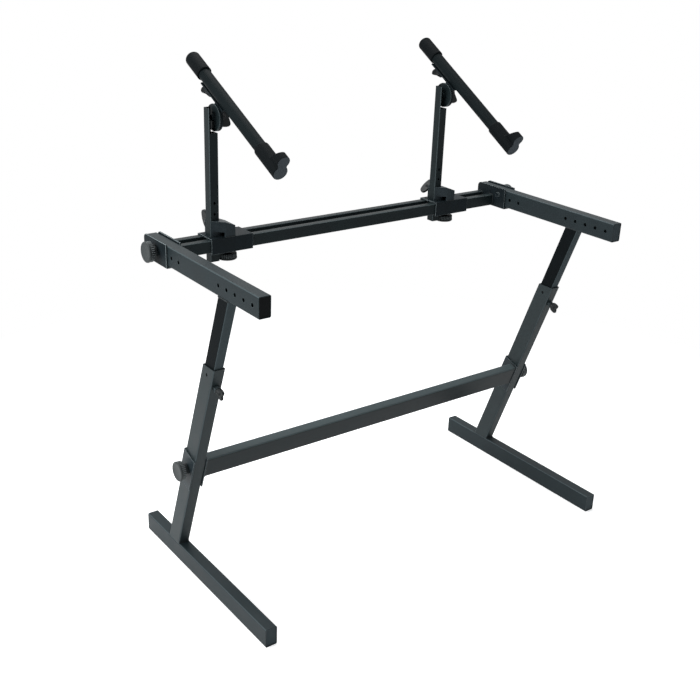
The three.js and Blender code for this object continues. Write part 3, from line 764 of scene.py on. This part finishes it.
@dataclass
class WingGrip:
    """Moulded wing screw: two rounded wings blended into a tapered hub."""

    span: float
    height: float
    crown: float
    thickness: float = 5.0
    hub_radius: float = 6.5
    screw_radius: float = 4.0

    def outline(self) -> list[Point]:
        """Returns the wings' outline, across and up, in millimetres.

        A crown above zero makes the middle stand above the tips, by that share of the
        height. One below zero makes a dip between the wings.
        """
        half, high = self.span / 2 - 0.2, self.height - 0.1
        tips = high * (1 - max(self.crown, 0.0))
        middle = high * (1 + min(self.crown, 0.0))
        shoulder = tips + max(middle - tips, 0.0) * 0.65
        ridge = max(middle, tips * 0.97)
        curves = [
            ((self.hub_radius * 0.95, high * 0.08), (half, high * 0.12), (half, tips * 0.64)),
            ((half, tips * 0.64), (half, tips), (half * 0.66, shoulder)),
            ((half * 0.66, shoulder), (half * 0.3, ridge), (0.0, middle)),
        ]
        right = []
        for start, control, end in curves:
            for t in (0.0, 0.2, 0.4, 0.6, 0.8):
                near, mid, far = (1 - t) ** 2, 2 * t * (1 - t), t * t
                right.append(
                    tuple(near * a + mid * b + far * c for a, b, c in zip(start, control, end))
                )
        return right + [(0.0, middle)] + [(-x, y) for x, y in reversed(right)]

    def build(self, _shop: Workshop, node: str, axes: Matrix, top: float, tip: float) -> Object:
        """Builds the screw for a node, with +X of its axes along the wings."""
        seat, low = (top - self.height * MM) / MM, tip / MM
        wings = extrude_outline(self.outline(), -self.thickness / 2, self.thickness / 2)
        upright = Matrix.Rotation(math.pi / 2, 4, "X")
        wings.transform(Matrix.Translation((0, 0, seat * MM)) @ upright)
        rise = self.height * 0.62
        hub = revolve(
            [
                (0, seat + rise + 1.2), (self.hub_radius * 0.55, seat + rise + 0.6),
                (self.hub_radius * 0.82, seat + rise - 2), (self.hub_radius, seat + 1.4),
                (self.hub_radius, seat), (self.screw_radius + 0.2, seat),
                (self.screw_radius + 0.2, low), (0, low),
            ],
            32,
        )
        grip = mould(node + "_winged", merge([wings, hub]), voxel_mm=0.55, passes=4)
        grip.data.transform(axes)
        return shade(grip, 80)


@dataclass
class TurningGear:
    """Every knob and wing screw on the stand."""

    shop: Workshop
    knob: RibbedKnob = field(default_factory=RibbedKnob)
    height_wings: WingGrip = field(default_factory=lambda: WingGrip(22, 19, -0.12))
    upright_wings: WingGrip = field(default_factory=lambda: WingGrip(42, 25, 0.25))
    tilt_wings: WingGrip = field(default_factory=lambda: WingGrip(40, 26, -0.08, 6.0, 7.4))
    slide_wings: WingGrip = field(default_factory=lambda: WingGrip(26, 15, -0.1, 5.0, 6.0, 2.6))

    def build(self) -> None:
        """Builds the knobs and wing screws of both sides, each where its joint is."""
        frame = self.shop.frame
        for side in Side:
            for kind, outward, shape, finish in (
                ("crossbar_knob", RIGHTWARD * side.sign, self.knob, NYLON),
                ("clamp_knob", RIGHTWARD * side.sign, self.knob, NYLON),
                ("saddle_knob", -UPWARD, self.knob, DARK_NYLON),
                ("height_screw", -REARWARD, self.height_wings, DARK_NYLON),
                ("upright_screw", REARWARD, self.upright_wings, DARK_NYLON),
                ("tilt_nut", RIGHTWARD, self.tilt_wings, DARK_NYLON),
                ("slide_screw", -UPWARD, self.slide_wings, DARK_NYLON),
            ):
                node = f"{side.value}_{kind}"
                made = shape.build(self.shop, node, *frame.screw_axes(node, outward))
                self.shop.stand_in(made, node, finish)


# --- lower stand


@dataclass
class LowerStand:
    """Feet, telescopic legs, level arms and the crossbar between the legs."""

    shop: Workshop
    lean_degrees: float = 19.67
    leg_depth: float = 40.0
    leg_width: float = 25.0
    # Millimetres by which a weld bead's loop cuts each side of a tube's corners.
    bead_cut: float = 2.0

    def leg_axes(self) -> Matrix:
        """Finds axes whose y is 0 on the legs' front face and whose +Z runs up the leg."""
        lean = math.radians(self.lean_degrees)
        low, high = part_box("left_outer_leg")
        front = high.y - self.leg_depth * MM / math.cos(lean)
        return Matrix.Translation((0, front, low.z)) @ Matrix.Rotation(lean, 4, "X")

    def build(self) -> None:
        """Builds and dresses the lower stand."""
        shop, axes = self.shop, self.leg_axes()
        up = (axes.to_3x3() @ UPWARD).normalized()
        for side in Side:
            tag = side.value
            for node, finish in (
                ("outer_leg", POWDER_COAT),
                ("inner_leg", SHADED_INNER_LEG_COAT),
                ("foot", LEVEL_COAT),
                ("arm", LEVEL_COAT),
            ):
                made = shop.dress(f"{tag}_{node}", finish, 0.45, across=RIGHTWARD)
                # The inner legs' front faces take the paler second colour: painted light.
                if finish is SHADED_INNER_LEG_COAT:
                    shop.paint_lit_faces(made, up.cross(-RIGHTWARD))
            # The right arm's front plug is painted lit; the left one keeps the plug's own black.
            front_plug = POLYETHYLENE if side is Side.LEFT else PAINTED_LIT_PLUG
            for node, finish in (
                ("foot_plug_front", PAINTED_LIT_PLUG),
                ("foot_plug_rear", PAINTED_LIT_PLUG),
                ("arm_plug_front", front_plug),
                ("arm_plug_rear", POLYETHYLENE),
            ):
                shop.dress(f"{tag}_{node}", finish, 0.8)
            shop.dress(f"{tag}_guide_bush", POLYETHYLENE, 0.2)
            shop.dress(f"{tag}_lock_nut", POWDER_COAT, 0.8)
            self.bracket(side, up)
            self.leg_welds(side, axes)
        # The crossbar's top faces take the paler second colour: a painted highlight.
        shop.paint_lit_faces(shop.dress("crossbar", RAIL_COAT, 0.45, across=up), up)

    def bracket(self, side: Side, up: Vector) -> None:
        """Dresses the bent channel that joins the crossbar to a leg."""
        node = f"{side.value}_crossbar_bracket"
        behind = up.cross(RIGHTWARD).normalized()
        rear = max(p.dot(behind) for p in self.shop.frame.points(node))
        test = runs_along(up, lambda p: abs(p.dot(behind) - rear) < 3.2 * MM)
        self.shop.dress(node, SHEET_COAT, 0.4, bend_mm=2.2, is_bend=test)

    def leg_welds(self, side: Side, axes: Matrix) -> None:
        """Lays the beads at a leg's foot, under its arm and at the crossbar's end."""
        shop, tag = self.shop, side.value
        foot_low, foot_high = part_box(f"{tag}_foot")
        middle = (foot_low.x + foot_high.x) / 2
        reach = (self.leg_width / 2 - 2.5) * MM
        leg = shop.frame.points(f"{tag}_outer_leg")
        bottom = min(p.z for p in leg)
        root = span(p.y for p in leg if p.z < bottom + END_SLICE)
        for place, y in zip(("front", "rear"), root):
            line = [Vector((middle + t * reach, y, foot_high.z + 0.3 * MM)) for t in (-1, 0, 1)]
            shop.weld(f"{tag}_foot_bead_{place}", "base", line, 1.9)
        cut = self.bead_cut * MM
        neck = shop.frame.points(f"{tag}_inner_leg")
        top = max(p.z for p in neck)
        crown = [p for p in neck if p.z > top - END_SLICE]
        loop = clipped(span(p.x for p in crown), span(p.y for p in crown), cut)
        line = [Vector((x, y, top)) for x, y in loop]
        shop.weld(f"{tag}_arm_bead", "upper_frame", line, 1.5, closed=True)
        bar = [axes.inverted() @ p for p in shop.frame.points("crossbar")]
        end = side.sign * max(p.x for p in bar)
        loop = clipped(span(p.z for p in bar), span(p.y for p in bar), cut)
        line = [axes @ Vector((end, y, z)) for z, y in loop[-1:] + loop[:-1]]
        shop.weld(f"{tag}_crossbar_bead", "base", line, 1.7, closed=True)


# --- rail frame and saddles


@dataclass
class RailFrame:
    """The two rails behind the arms, with the clamps that hold them."""

    shop: Workshop
    bead_cut: float = 1.6

    def build(self) -> None:
        """Builds and dresses the rail frame."""
        shop, rails = self.shop, ("front_rail", "rear_rail")
        for node in rails:
            shop.dress(node, RAIL_COAT, 0.4, across=REARWARD)
        for side in Side:
            node = f"{side.value}_rail_clamp"
            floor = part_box(node)[0].z
            test = runs_along(REARWARD, lambda p, z=floor: p.z < z + 3.4 * MM)
            shop.dress(node, CHANNEL_COAT, 0.6, bend_mm=2.4, is_bend=test)
            for rail in rails:
                low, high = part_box(rail)
                x = low.x if side is Side.LEFT else high.x
                loop = clipped((low.y, high.y), (high.z, low.z), self.bead_cut * MM)
                line = [Vector((x, y, z)) for y, z in loop]
                shop.weld(f"{side.value}_{rail}_bead", "rail_frame", line, 1.4, closed=True)


@dataclass
class SaddleUnit:
    """A saddle that slides on the rails, its clamp plate and the post's collar."""

    shop: Workshop

    def build(self, side: Side) -> None:
        """Builds and dresses one side's saddle."""
        shop, tag = self.shop, side.value
        saddle, collar, unit = f"{tag}_saddle", f"{tag}_upright_collar", f"{tag}_saddle_unit"
        low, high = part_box(saddle)
        lengthwise = runs_along(
            RIGHTWARD,
            lambda p: p.z > high.z - 3.0 * MM and not low.y + 4 * MM < p.y < high.y - 4 * MM,
        )
        shop.dress(saddle, CHANNEL_COAT, 0.6, bend_mm=1.6, is_bend=lengthwise)
        shop.dress(f"{tag}_saddle_plate", CHANNEL_COAT, 0.4)
        base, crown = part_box(collar)
        upright = runs_along(UPWARD, lambda p: p.x > base.x + 12 * MM)
        shop.dress(collar, SHEET_COAT, 0.45, bend_mm=0.9, is_bend=upright)
        z, cut = base.z + 0.1 * MM, 2 * MM
        front = [
            Vector((base.x + 25 * MM, base.y, z)),
            Vector((crown.x - cut, base.y, z)),
            Vector((crown.x, base.y + cut, z)),
            Vector((crown.x, crown.y - cut, z)),
        ]
        shop.weld(f"{tag}_collar_bead_side", unit, front, 1.1)
        back = [Vector((base.x + cut, crown.y, z)), Vector((crown.x - cut, crown.y, z))]
        shop.weld(f"{tag}_collar_bead_rear", unit, back, 1.1)


# --- upper arms


@dataclass
class TiltDisc:
    """Toothed disc on the post, with its bolt."""

    radius: float = 26.0
    thickness: float = 4.5
    dish: float = 1.3
    lip: float = 1.8
    tooth: float = 0.45
    teeth: int = 48
    rim_notches: int = 36
    bolt_radius: float = 4.0
    head_flats: float = 12.0
    head_height: float = 4.0

    def build(self, shop: Workshop, side: Side) -> None:
        """Builds the disc in place."""
        node = f"{side.value}_tilt_disc"
        pivot = Vector(shop.frame.joints[f"{side.value}_tilt"]["pos_m"])
        low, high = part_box(node)
        # +Z of the disc's own axes is the row's +X, from the bolt's head to its tip.
        turned = Matrix.Rotation(math.pi / 2, 4, "Y")
        axes = Matrix.Translation((low.x, pivot.y, pivot.z)) @ turned
        back = self.head_height
        face = back + self.thickness
        tip = (high.x - low.x) / MM
        rim = self.radius
        disc = revolve(
            [
                (0, back + self.dish), (rim - self.lip - 0.5, back + self.dish),
                (rim - self.lip, back + 0.3), (rim - self.lip + 0.4, back), (rim - 0.6, back),
                (rim - 0.1, back + 0.5), (rim - 0.1, face - 1.2), (rim - 0.9, face - self.tooth),
                (self.bolt_radius + 5, face - self.tooth), (self.bolt_radius + 4.4, face - 0.1),
                (self.bolt_radius, face - 0.1), (self.bolt_radius, tip - 0.9),
                (self.bolt_radius - 0.9, tip), (0, tip),
            ],
            72,
        )
        outer = self.head_flats / 2 / math.cos(math.pi / 6)
        head = extrude_outline(arc((0, 0), outer, 0, 300, 5), 0.0, back + self.dish + 0.2)
        bmesh.ops.bevel(
            head,
            geom=[e for e in head.edges if all(v.co.z < 0.1 * MM for v in e.verts)],
            offset=0.9 * MM,
            segments=2,
            affect="EDGES",
        )
        rings = self._rings(shop, node, back, face)
        whole = mesh_from(node + "_toothed", merge([disc, head, *rings]))
        # The rim's chamfer takes the second material: a painted highlight.
        for facet in whole.data.polygons:
            from_axis = math.hypot(facet.center.x, facet.center.y)
            if from_axis > (rim - 0.6) * MM and facet.center.z < (back + 0.5) * MM:
                facet.material_index = 1
        whole.data.transform(axes)
        shop.stand_in(shade(whole, 30), node, RAIL_COAT)

    def _rings(self, shop: Workshop, node: str, back: float, face: float) -> list[Solid]:
        """Returns the teeth on the disc's face and the notches on its rim."""
        tooth, notch = self._tooth(face), self._notch(back, face)
        return [
            shop.trees.ringed(tooth, f"{node}_teeth", self.teeth, 0.0),
            shop.trees.ringed(notch, f"{node}_notches", self.rim_notches, 0.0),
        ]

    def _tooth(self, face: float) -> Solid:
        """One radial tooth, a ridge from the hub to the rim, up to the toothed face."""
        work = bmesh.new()
        inner, outer = self.bolt_radius + 6.5, self.radius - 1.2
        step = math.tau / self.teeth * 0.42
        sunk = face - self.tooth - 0.2
        ridge = ((-step, sunk), (0, face), (step, sunk))
        rows = []
        for r in (inner, outer):
            ends = [(r * math.cos(t), r * math.sin(t), z) for t, z in ridge]
            rows.append([work.verts.new([c * MM for c in p]) for p in ends])
        (a, b, c), (d, e, f) = rows
        for loop in ((a, d, e, b), (b, e, f, c), (c, f, d, a), (a, b, c), (f, e, d)):
            work.faces.new(loop)
        bmesh.ops.recalc_face_normals(work, faces=work.faces)
        return work

    def _notch(self, back: float, face: float) -> Solid:
        """One small rib on the disc's rim, between the heights of its back and face."""
        rib = revolve([(0, back + 0.9), (0.75, back + 0.9), (0.75, face - 1.3), (0, face - 1.3)], 8)
        rib.transform(Matrix.Translation(((self.radius - 0.75) * MM, 0, 0)))
        return rib


@dataclass
class UpperArm:
    """A post's top, the tilting carrier and the rubber-ended arm that lies on it."""

    shop: Workshop
    tube_radius: float = 12.5
    gap: float = 0.2
    wall: float = 2.4
    end: float = 10.0
    cap_length: float = 57.0
    sleeve_length: float = 72.0
    lip_width: float = 25.0
    lip_neck: float = 19.0
    lip_height: float = 36.5
    lip_root: float = 34.0
    lip_top: float = 15.0
    disc: TiltDisc = field(default_factory=TiltDisc)

    @property
    def bore(self) -> float:
        """Radius inside the rubber ends."""
        return self.tube_radius + self.gap

    def arm_axes(self, side: Side) -> tuple[Matrix, float]:
        """Finds the arm's axes, and half its tube's length in millimetres.

        The origin is in the middle of the tube, and +Y runs along it to the rear.
        """
        back = Vector(self.shop.frame.joints[f"{side.value}_arm_slide"]["axis"]).normalized()
        ways = (RIGHTWARD, back, RIGHTWARD.cross(back).normalized())
        points = self.shop.frame.points(f"{side.value}_tier_tube")
        spans = [span(p.dot(way) for p in points) for way in ways]
        centre = sum((way * (a + b) / 2 for way, (a, b) in zip(ways, spans)), Vector())
        turned = Matrix(ways).transposed().to_4x4()
        return Matrix.Translation(centre) @ turned, (spans[1][1] - spans[1][0]) / 2 / MM

    def build(self, side: Side) -> None:
        """Builds and dresses one upper arm with its post."""
        shop, tag = self.shop, side.value
        shop.dress(f"{tag}_upright", RAIL_COAT, 0.4, across=RIGHTWARD)
        self.disc.build(shop, side)
        back = Vector(shop.frame.joints[f"{tag}_arm_slide"]["axis"])
        test = runs_along(back, lambda p: True)
        shop.dress(f"{tag}_carrier", CHANNEL_COAT, 0.35, bend_mm=0.9, is_bend=test)
        shop.dress(f"{tag}_tier_tube", ROUND_COAT, 0.3)
        axes, half = self.arm_axes(side)
        # The rubber ends are turned about Z, so their own height is laid along the arm's +Y.
        laid = Matrix.Rotation(-math.pi / 2, 4, "X")
        for kind, made in (
            ("rear_cap", self.cap(f"{tag}_rear_cap_domed", axes, laid, half)),
            ("front_sleeve", self.sleeve(f"{tag}_front_sleeve_lipped", axes, laid, half)),
        ):
            shop.stand_in(made, f"{tag}_{kind}", NITRILE)

    def cap(self, name: str, axes: Matrix, laid: Matrix, half: float) -> Object:
        """Builds the domed rubber cap on the rear end of a tube of half a length in mm."""
        inner, outer = self.bore, self.bore + self.wall
        tip = half + self.end
        mouth = tip - self.cap_length
        round_end = 7.5
        profile = (
            [(0.0, tip)]
            + arc((outer - round_end - 0.1, tip - round_end), round_end, 90, 0, 8)
            + [
                (outer - 0.1, mouth + 4.0), (outer, mouth + 2.6), (outer, mouth + 0.9),
                (outer - 0.8, mouth), (inner, mouth), (inner, tip - self.end + 0.2),
                (0.0, tip - self.end + 0.2),
            ]
        )
        cap = mesh_from(name, revolve(profile))
        cap.data.transform(axes @ laid)
        return shade(cap, 50)

    def sleeve(self, name: str, axes: Matrix, laid: Matrix, half: float) -> Object:
        """Builds the rubber sleeve on the front end, with its upstanding lip."""
        inner, outer = self.bore, self.bore + self.wall
        tip = -half - self.end
        shell = revolve(
            [
                (0, tip), (outer - 1.2, tip), (outer, tip + 1.2),
                (outer, tip + self.sleeve_length - 1.2), (outer - 1.2, tip + self.sleeve_length),
                (inner, tip + self.sleeve_length), (inner, tip + self.end), (0, tip + self.end),
            ]
        )
        shell.transform(laid)
        fused = mould(name, merge([shell, self._lip(tip)]), voxel_mm=0.7, passes=5)
        # The sleeve's front face takes the second, paler colour: painted light.
        for facet in fused.data.polygons:
            if facet.normal.y < -0.8 and facet.center.y < (tip + 2.0) * MM:
                facet.material_index = 1
        fused.data.transform(axes)
        return shade(fused, 80)

    def _lip(self, tip: float) -> Solid:
        """The lip, lofted from its flat front face at the tip to its sloping back."""
        crown = self.lip_height - self.lip_width / 2 - 0.2
        neck = math.degrees(math.acos(self.lip_neck / self.lip_width))
        saddle = self.bore + 1.0
        half_neck = self.lip_neck / 2
        root = math.degrees(math.asin(half_neck / saddle))
        outline = arc((0, crown), self.lip_width / 2, -neck, 180 + neck, 22) + arc(
            (0, 0), saddle, 90 + root, 90 - root, 8
        )
        work = bmesh.new()
        low = min(z for _, z in outline)
        layers = []
        for share in (0.0, 0.5, 1.0):
            ring = []
            for x, z in outline:
                climb = max(0.0, min(1.0, (z - low) / (self.lip_height - low)))
                depth = self.lip_root + (self.lip_top - self.lip_root) * climb**0.8
                ring.append(work.verts.new((x * MM, (tip + depth * share) * MM, z * MM)))
            layers.append(ring)
        for near, far in zip(layers, layers[1:]):
            for i in range(len(near)):
                j = (i + 1) % len(near)
                work.faces.new((near[i], near[j], far[j], far[i]))
        work.faces.new(layers[0][::-1])
        work.faces.new(layers[-1])
        bmesh.ops.recalc_face_normals(work, faces=work.faces)
        return work


# --- studio


@dataclass
class Studio:
    """Camera, lamps, floor and background."""

    # Both places are measured from the middle of the feet.
    camera_at: tuple[float, float, float] = (-1.2878, -1.5750, 1.2701)
    aimed_at: tuple[float, float, float] = (-0.00486, 0.12067, 0.37372)
    roll_degrees: float = 2.2
    lens_mm: float = 53.49
    floor_lift: float = 0.55
    # Metres from the middle over which the floor fades into the background.
    shadow_reach: tuple[float, float] = (0.7, 1.5)

    def camera(self) -> None:
        """Sets the camera at the photograph's viewpoint."""
        data = bpy.data.cameras.new("viewpoint")
        data.lens = self.lens_mm
        data.sensor_width = 36
        data.clip_start, data.clip_end = 0.05, 60
        lens = new_object("viewpoint", data)
        low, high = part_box("left_foot")
        feet = Vector((0, (low.y + high.y) / 2, 0))
        back = (Vector(self.camera_at) - Vector(self.aimed_at)).normalized()
        right = UPWARD.cross(back).normalized()
        up = back.cross(right)
        roll = math.radians(self.roll_degrees)
        tilted = right * math.cos(roll) + up * math.sin(roll)
        raised = up * math.cos(roll) - right * math.sin(roll)
        turned = Matrix((tilted, raised, back)).transposed().to_4x4()
        lens.matrix_world = Matrix.Translation(feet + Vector(self.camera_at)) @ turned
        bpy.context.scene.camera = lens

    @staticmethod
    def lamp(name: str, at: tuple[float, float, float], size: float, watts: float) -> None:
        """Hangs one soft square lamp, with its side in metres, that faces the stand."""
        data = bpy.data.lights.new(name, "AREA")
        data.size = size
        data.energy = watts
        lamp = new_object(name, data)
        lamp.location = at
        aim = Vector((0, 0.05, 0.5)) - Vector(at)
        lamp.rotation_euler = aim.to_track_quat("-Z", "Y").to_euler()

    @staticmethod
    def seen_directly(tree: Tree) -> Socket:
        """Returns a socket that is 1 where the camera, a gloss or a glass sees the surface."""
        path = add_node(tree, "ShaderNodeLightPath").outputs
        first = calculated(tree, "MAXIMUM", path["Is Camera Ray"], path["Is Glossy Ray"])
        return calculated(tree, "MAXIMUM", first, path["Is Transmission Ray"])

    def world(self, ambient: float) -> None:
        """Sets a white background over a plain ambient light of a given strength."""
        world = bpy.data.worlds.new("white room")
        bpy.context.scene.world = world
        tree = blank_tree(world)
        light = add_node(
            tree, "ShaderNodeBackground", {"Color": linear("f4f8ff"), "Strength": ambient}
        )
        white = add_node(tree, "ShaderNodeBackground", {"Color": (1, 1, 1, 1), "Strength": 1.0})
        both = mixed_shader(tree, self.seen_directly(tree), light, white)
        add_node(tree, "ShaderNodeOutputWorld", {0: both.outputs[0]})

    def floor(self) -> None:
        """Lays a pale floor that fades into the white background."""
        work = bmesh.new()
        bmesh.ops.create_circle(work, cap_ends=True, radius=14.0, segments=96)
        ground = mesh_from("floor", work)
        material = bpy.data.materials.new("pale_studio_floor")
        tree = blank_tree(material)
        paint = add_node(tree, "ShaderNodeBsdfDiffuse", {"Color": linear("f2f3f3")})
        lift = add_node(
            tree, "ShaderNodeEmission", {"Color": (1, 1, 1, 1), "Strength": self.floor_lift}
        )
        near = add_node(tree, "ShaderNodeAddShader", {0: paint.outputs[0], 1: lift.outputs[0]})
        white = add_node(tree, "ShaderNodeEmission", {"Color": (1, 1, 1, 1), "Strength": 1.0})
        place = add_node(tree, "ShaderNodeTexCoord").outputs["Object"]
        reach = add_node(tree, "ShaderNodeVectorMath", {0: place}, operation="LENGTH")
        fade = mapped(tree, reach.outputs["Value"], self.shadow_reach)
        faded = mixed_shader(tree, fade, near, white)
        shown = mixed_shader(tree, self.seen_directly(tree), paint, faded)
        add_node(tree, "ShaderNodeOutputMaterial", {"Surface": shown.outputs[0]})
        ground.data.materials.append(material)

    def build(self) -> None:
        """Builds the studio."""
        self.camera()
        self.world(0.24)
        self.lamp("key_left", (-3.6, 0.4, 2.3), 2.4, 140)
        self.lamp("overhead", (0.2, 1.6, 3.9), 3.2, 150)
        self.floor()
        bpy.context.scene.view_settings.view_transform = "Standard"


def main() -> None:
    """Builds the studio and the stand."""
    logging.basicConfig(level=logging.INFO, format="%(name)s: %(message)s")
    for item in list(bpy.data.objects):
        bpy.data.objects.remove(item)
    frame = Frame.load()
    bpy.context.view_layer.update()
    Studio().build()
    shop = Workshop(frame, Palette(), NodeTreeMaker())
    LowerStand(shop).build()
    RailFrame(shop).build()
    saddles, arms = SaddleUnit(shop), UpperArm(shop)
    for side in Side:
        saddles.build(side)
        arms.build(side)
    TurningGear(shop).build()
    LOG.info("the stand is dressed")


if __name__ == "__main__":
    main()
